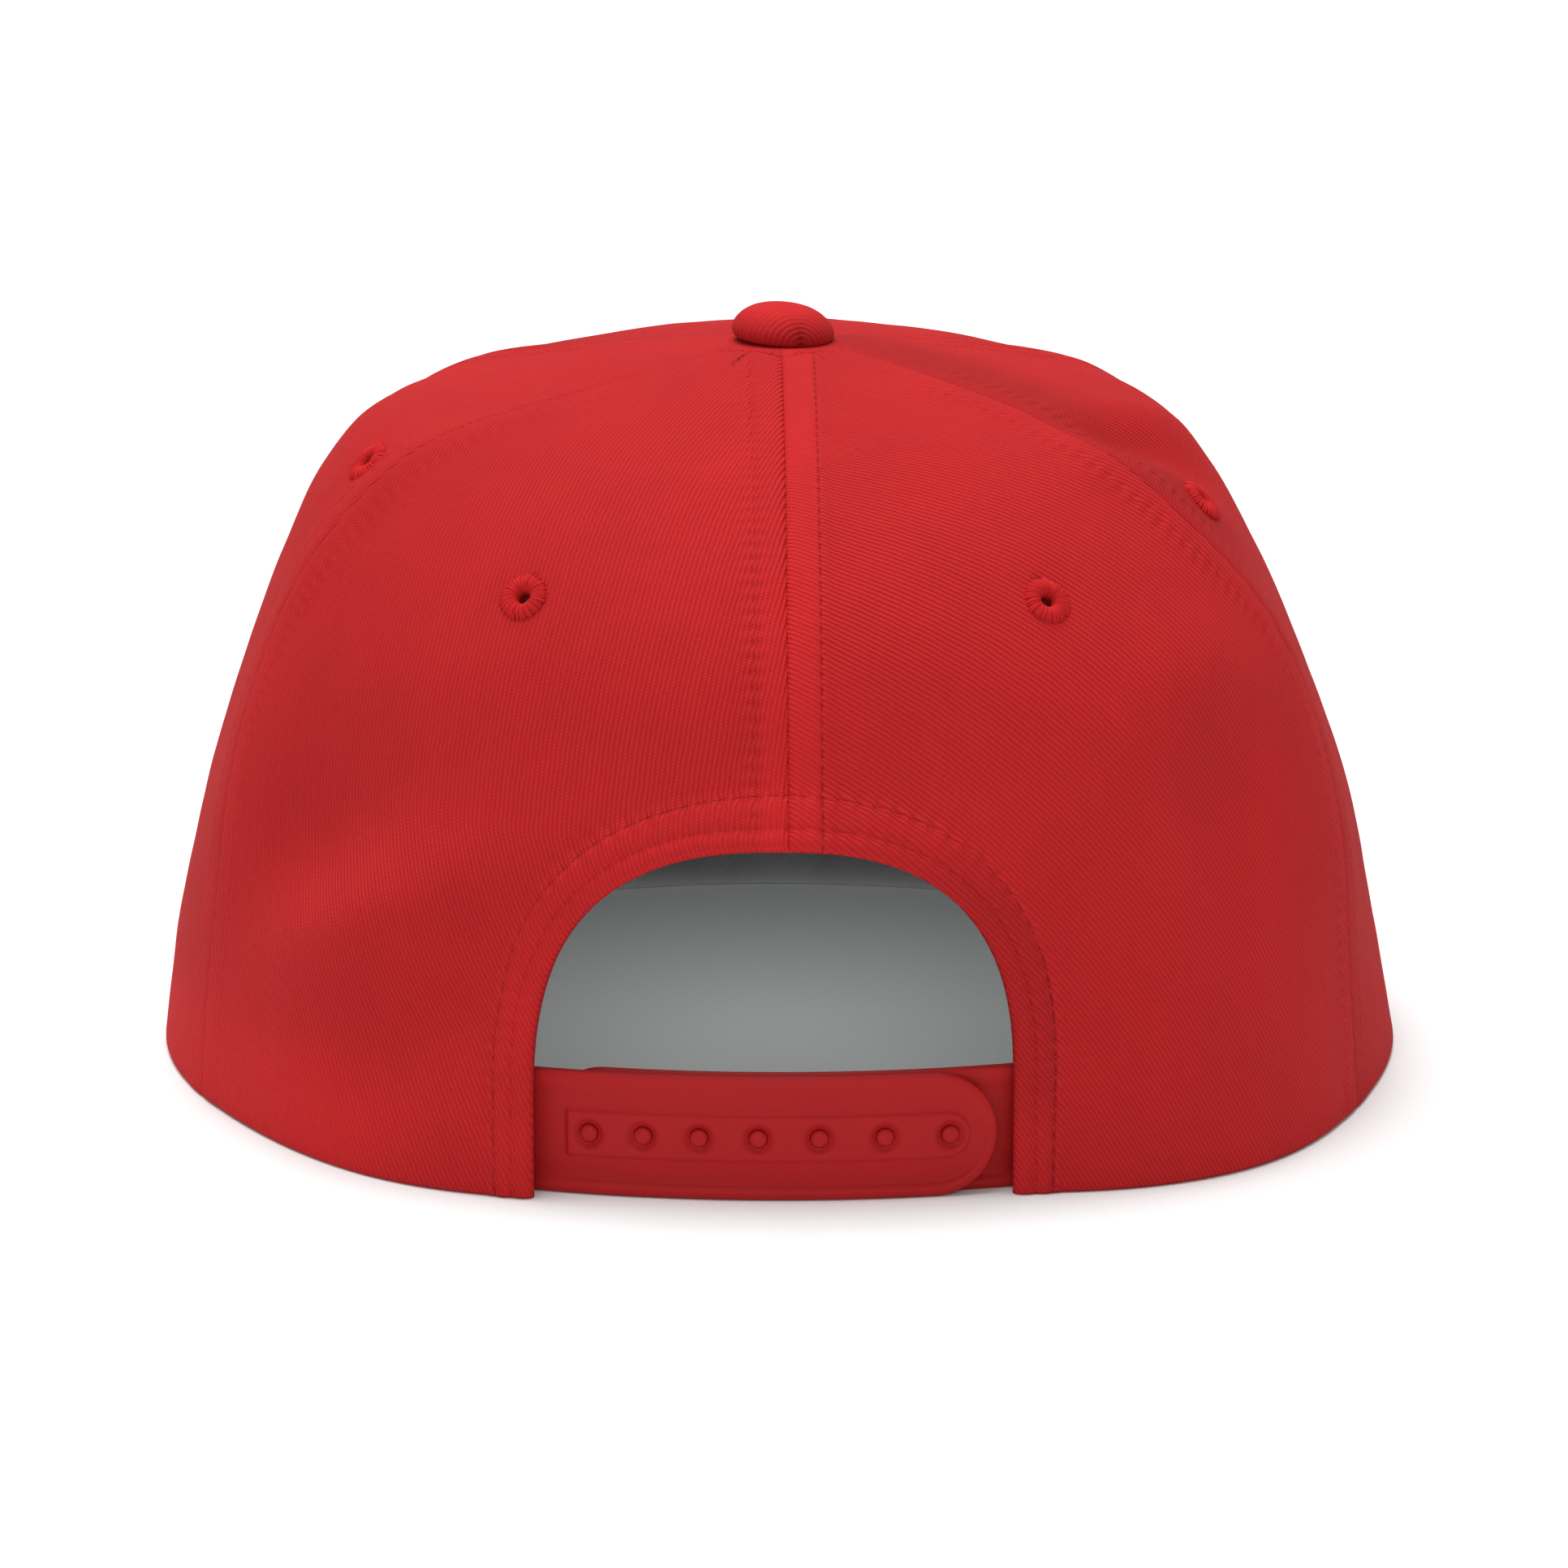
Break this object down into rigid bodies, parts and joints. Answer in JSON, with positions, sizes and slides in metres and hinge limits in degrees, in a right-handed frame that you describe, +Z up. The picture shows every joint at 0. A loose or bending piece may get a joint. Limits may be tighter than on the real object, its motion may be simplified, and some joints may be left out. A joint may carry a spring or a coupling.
{
  "type": "flat bill cap",
  "caption": "Flat bill cap with a panelled cloth crown, covered top button, stitched vent eyelets, stiff flat bill, sweatband and a plastic snap strap across the back arch.",
  "frame": {"origin": "under the middle of the crown, in the plane of the head opening and of the surface the cap rests on", "axes": "+Z up through the button, +Y forward along the bill, +X to the wearer's right, so the snap strap is at -Y"},
  "size_m": [0.188, 0.246, 0.114],
  "materials": {
    "twill": "red cotton twill, matte",
    "thread": "red sewing thread, slight sheen",
    "strap": "red moulded plastic, satin",
    "lining": "grey inner cloth, matte"
  },
  "bodies": {
    "root": {"front_panel": "twill", "side_left_panel": "twill", "side_right_panel": "twill", "back_left_panel": "twill", "back_right_panel": "twill", "eyelet_back_left": "thread", "eyelet_back_right": "thread", "eyelet_side_left": "thread", "eyelet_side_right": "thread", "button": "twill", "sweatband": "lining", "snap_strap_holes": "strap", "snap_strap_pegs": "strap", "bill": "twill"}
  },
  "joints": []
}
